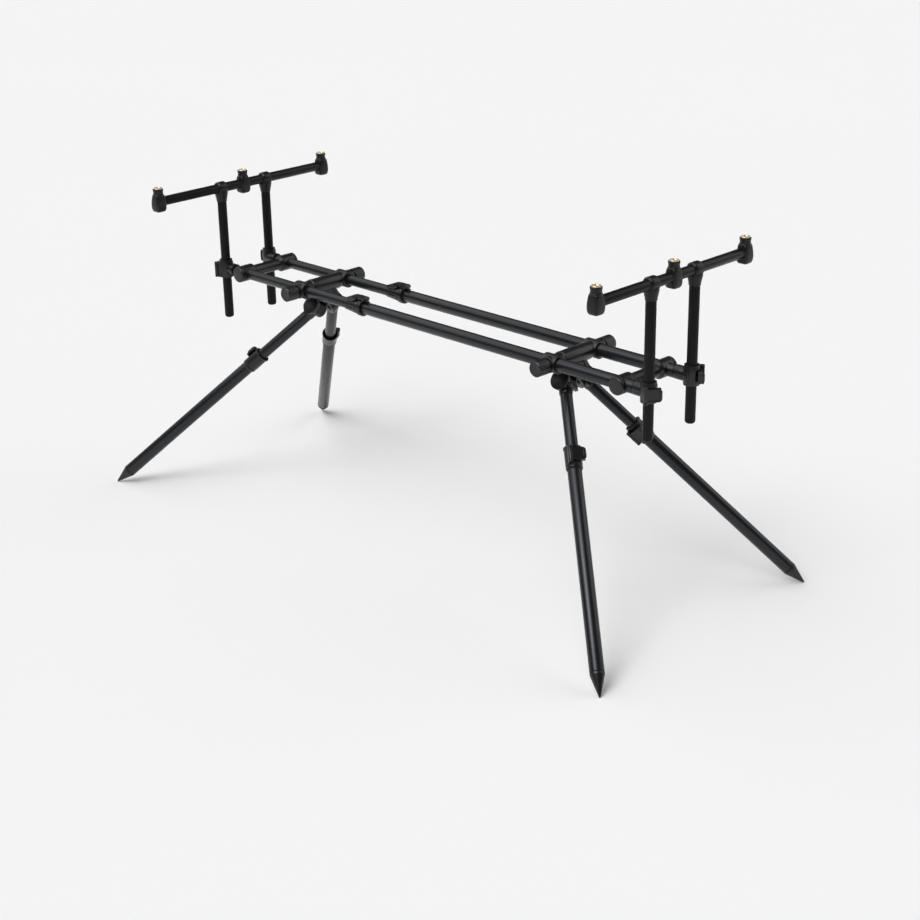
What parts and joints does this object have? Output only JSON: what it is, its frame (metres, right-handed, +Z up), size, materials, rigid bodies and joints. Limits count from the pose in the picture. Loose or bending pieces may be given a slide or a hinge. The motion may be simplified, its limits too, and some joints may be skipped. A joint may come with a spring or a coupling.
{
  "type": "rod pod",
  "caption": "Twin-rail fishing rod pod with telescopic rails, folding telescopic spiked legs, sliding leg blocks with locking knobs, and height-adjustable buzz bars with threaded brass inserts.",
  "frame": {"origin": "on the ground, in the middle of the four feet", "axes": "+X along the rails towards the front end, the one with the higher buzz bar; +Y to the right-hand side; +Z up"},
  "size_m": [1.1564, 0.4992, 0.5655],
  "materials": {
    "tube_satin_black": "satin black anodised tube",
    "post_matt_black": "matt black anodised tube",
    "moulded_black": "matt black moulding",
    "brass_insert": "turned brass",
    "steel_pin": "dark steel pin"
  },
  "bodies": {
    "front_frame": {"outer_rail_left": "tube_satin_black", "outer_rail_right": "tube_satin_black", "front_end_bar": "moulded_black", "front_post_clamps": "moulded_black", "rail_clamps": "moulded_black", "front_lever_pins": "steel_pin"},
    "rear_frame": {"inner_rail_left": "tube_satin_black", "inner_rail_right": "tube_satin_black", "rear_end_bar": "moulded_black", "rear_post_clamps": "moulded_black", "rear_lever_pins": "steel_pin"},
    "rail_lever_left": {"rail_lever_left": "moulded_black"},
    "rail_lever_right": {"rail_lever_right": "moulded_black"},
    "front_leg_carrier": {"front_leg_block": "moulded_black", "front_hinge_pins": "steel_pin"},
    "front_bar": {"front_posts": "post_matt_black", "front_buzz_bar": "post_matt_black", "front_bar_sleeves": "moulded_black", "front_rest_heads": "moulded_black", "front_brass_inserts": "brass_insert"},
    "front_knob_left": {"front_knob_left": "moulded_black"},
    "front_post_lever_left": {"front_post_lever_left": "moulded_black"},
    "front_left_leg_upper": {"front_left_leg_head": "moulded_black", "front_left_upper_tube": "tube_satin_black"},
    "front_left_leg_lower": {"front_left_leg_collar": "moulded_black", "front_left_lower_tube": "tube_satin_black", "front_left_spike": "moulded_black"},
    "front_left_leg_lever": {"front_left_leg_lever": "moulded_black"},
    "front_knob_right": {"front_knob_right": "moulded_black"},
    "front_post_lever_right": {"front_post_lever_right": "moulded_black"},
    "front_right_leg_upper": {"front_right_leg_head": "moulded_black", "front_right_upper_tube": "tube_satin_black"},
    "front_right_leg_lower": {"front_right_leg_collar": "moulded_black", "front_right_lower_tube": "tube_satin_black", "front_right_spike": "moulded_black"},
    "front_right_leg_lever": {"front_right_leg_lever": "moulded_black"},
    "rear_leg_carrier": {"rear_leg_block": "moulded_black", "rear_hinge_pins": "steel_pin"},
    "rear_bar": {"rear_posts": "post_matt_black", "rear_buzz_bar": "post_matt_black", "rear_bar_sleeves": "moulded_black", "rear_rest_heads": "moulded_black", "rear_brass_inserts": "brass_insert"},
    "rear_knob_left": {"rear_knob_left": "moulded_black"},
    "rear_post_lever_left": {"rear_post_lever_left": "moulded_black"},
    "rear_left_leg_upper": {"rear_left_leg_head": "moulded_black", "rear_left_upper_tube": "tube_satin_black"},
    "rear_left_leg_lower": {"rear_left_leg_collar": "moulded_black", "rear_left_lower_tube": "tube_satin_black", "rear_left_spike": "moulded_black"},
    "rear_left_leg_lever": {"rear_left_leg_lever": "moulded_black"},
    "rear_knob_right": {"rear_knob_right": "moulded_black"},
    "rear_post_lever_right": {"rear_post_lever_right": "moulded_black"},
    "rear_right_leg_upper": {"rear_right_leg_head": "moulded_black", "rear_right_upper_tube": "tube_satin_black"},
    "rear_right_leg_lower": {"rear_right_leg_collar": "moulded_black", "rear_right_lower_tube": "tube_satin_black", "rear_right_spike": "moulded_black"},
    "rear_right_leg_lever": {"rear_right_leg_lever": "moulded_black"}
  },
  "joints": [
    {"name": "rail_slide", "type": "slide", "parent": "front_frame", "child": "rear_frame", "axis": [1, 0, 0], "range_m": [-0.2, 0.075]},
    {"name": "rail_lever_left_turn", "type": "hinge", "parent": "front_frame", "child": "rail_lever_left", "pos_m": [-0.13216, -0.047, 0.3952], "axis": [0, -1, 0], "range_deg": [0, 75]},
    {"name": "rail_lever_right_turn", "type": "hinge", "parent": "front_frame", "child": "rail_lever_right", "pos_m": [-0.13216, 0.047, 0.3952], "axis": [0, -1, 0], "range_deg": [0, 75]},
    {"name": "front_block_slide", "type": "slide", "parent": "front_frame", "child": "front_leg_carrier", "axis": [-1, 0, 0], "range_m": [-0.06, 0.1]},
    {"name": "front_bar_slide", "type": "slide", "parent": "front_frame", "child": "front_bar", "axis": [0, 0, 1], "range_m": [-0.09, 0.045]},
    {"name": "front_knob_left_turn", "type": "hinge", "parent": "front_leg_carrier", "child": "front_knob_left", "pos_m": [0.30674, -0.047, 0.381], "axis": [0, -1, 0], "range_deg": [0, 270]},
    {"name": "front_post_lever_left_turn", "type": "hinge", "parent": "front_frame", "child": "front_post_lever_left", "pos_m": [0.49983, -0.06531, 0.381], "axis": [0, 0, -1], "range_deg": [0, 100]},
    {"name": "front_left_leg_fold", "type": "hinge", "parent": "front_leg_carrier", "child": "front_left_leg_upper", "pos_m": [0.30674, -0.0195, 0.343], "axis": [0, 0.831, -0.5563], "range_deg": [0, 123]},
    {"name": "front_left_leg_slide", "type": "slide", "parent": "front_left_leg_upper", "child": "front_left_leg_lower", "axis": [-0.549, 0.465, 0.6945], "range_m": [-0.12, 0.07]},
    {"name": "front_left_leg_lever_turn", "type": "hinge", "parent": "front_left_leg_lower", "child": "front_left_leg_lever", "pos_m": [0.38066, -0.09003, 0.2684], "axis": [-0.549, 0.465, 0.6945], "range_deg": [-110, 0]},
    {"name": "front_knob_right_turn", "type": "hinge", "parent": "front_leg_carrier", "child": "front_knob_right", "pos_m": [0.30674, 0.047, 0.381], "axis": [0, 1, 0], "range_deg": [0, 270]},
    {"name": "front_post_lever_right_turn", "type": "hinge", "parent": "front_frame", "child": "front_post_lever_right", "pos_m": [0.49983, 0.06531, 0.381], "axis": [0, 0, 1], "range_deg": [0, 100]},
    {"name": "front_right_leg_fold", "type": "hinge", "parent": "front_leg_carrier", "child": "front_right_leg_upper", "pos_m": [0.30674, 0.0195, 0.343], "axis": [0, 0.831, 0.5563], "range_deg": [0, 123]},
    {"name": "front_right_leg_slide", "type": "slide", "parent": "front_right_leg_upper", "child": "front_right_leg_lower", "axis": [-0.549, -0.465, 0.6945], "range_m": [-0.12, 0.07]},
    {"name": "front_right_leg_lever_turn", "type": "hinge", "parent": "front_right_leg_lower", "child": "front_right_leg_lever", "pos_m": [0.37652, 0.06224, 0.24652], "axis": [-0.549, -0.465, 0.6945], "range_deg": [-110, 0]},
    {"name": "rear_block_slide", "type": "slide", "parent": "rear_frame", "child": "rear_leg_carrier", "axis": [-1, 0, 0], "range_m": [-0.06, 0.1]},
    {"name": "rear_bar_slide", "type": "slide", "parent": "rear_frame", "child": "rear_bar", "axis": [0, 0, 1], "range_m": [-0.075, 0.06]},
    {"name": "rear_knob_left_turn", "type": "hinge", "parent": "rear_leg_carrier", "child": "rear_knob_left", "pos_m": [-0.26476, -0.047, 0.381], "axis": [0, -1, 0], "range_deg": [0, 270]},
    {"name": "rear_post_lever_left_turn", "type": "hinge", "parent": "rear_frame", "child": "rear_post_lever_left", "pos_m": [-0.47814, -0.06531, 0.381], "axis": [0, 0, 1], "range_deg": [0, 100]},
    {"name": "rear_left_leg_fold", "type": "hinge", "parent": "rear_leg_carrier", "child": "rear_left_leg_upper", "pos_m": [-0.26476, -0.0195, 0.343], "axis": [0, 0.831, -0.5563], "range_deg": [-127, 0]},
    {"name": "rear_left_leg_slide", "type": "slide", "parent": "rear_left_leg_upper", "child": "rear_left_leg_lower", "axis": [-0.6046, -0.4431, -0.6619], "range_m": [-0.07, 0.12]},
    {"name": "rear_left_leg_lever_turn", "type": "hinge", "parent": "rear_left_leg_lower", "child": "rear_left_leg_lever", "pos_m": [-0.36422, -0.0701, 0.24196], "axis": [-0.6046, -0.4431, -0.6619], "range_deg": [0, 110]},
    {"name": "rear_knob_right_turn", "type": "hinge", "parent": "rear_leg_carrier", "child": "rear_knob_right", "pos_m": [-0.26476, 0.047, 0.381], "axis": [0, 1, 0], "range_deg": [0, 270]},
    {"name": "rear_post_lever_right_turn", "type": "hinge", "parent": "rear_frame", "child": "rear_post_lever_right", "pos_m": [-0.47814, 0.06531, 0.381], "axis": [0, 0, -1], "range_deg": [0, 100]},
    {"name": "rear_right_leg_fold", "type": "hinge", "parent": "rear_leg_carrier", "child": "rear_right_leg_upper", "pos_m": [-0.26476, 0.0195, 0.343], "axis": [0, 0.831, 0.5563], "range_deg": [-127, 0]},
    {"name": "rear_right_leg_slide", "type": "slide", "parent": "rear_right_leg_upper", "child": "rear_right_leg_lower", "axis": [-0.6046, 0.4431, -0.6619], "range_m": [-0.07, 0.12]},
    {"name": "rear_right_leg_lever_turn", "type": "hinge", "parent": "rear_right_leg_lower", "child": "rear_right_leg_lever", "pos_m": [-0.35037, 0.10201, 0.25067], "axis": [-0.6046, 0.4431, -0.6619], "range_deg": [0, 110]}
  ]
}
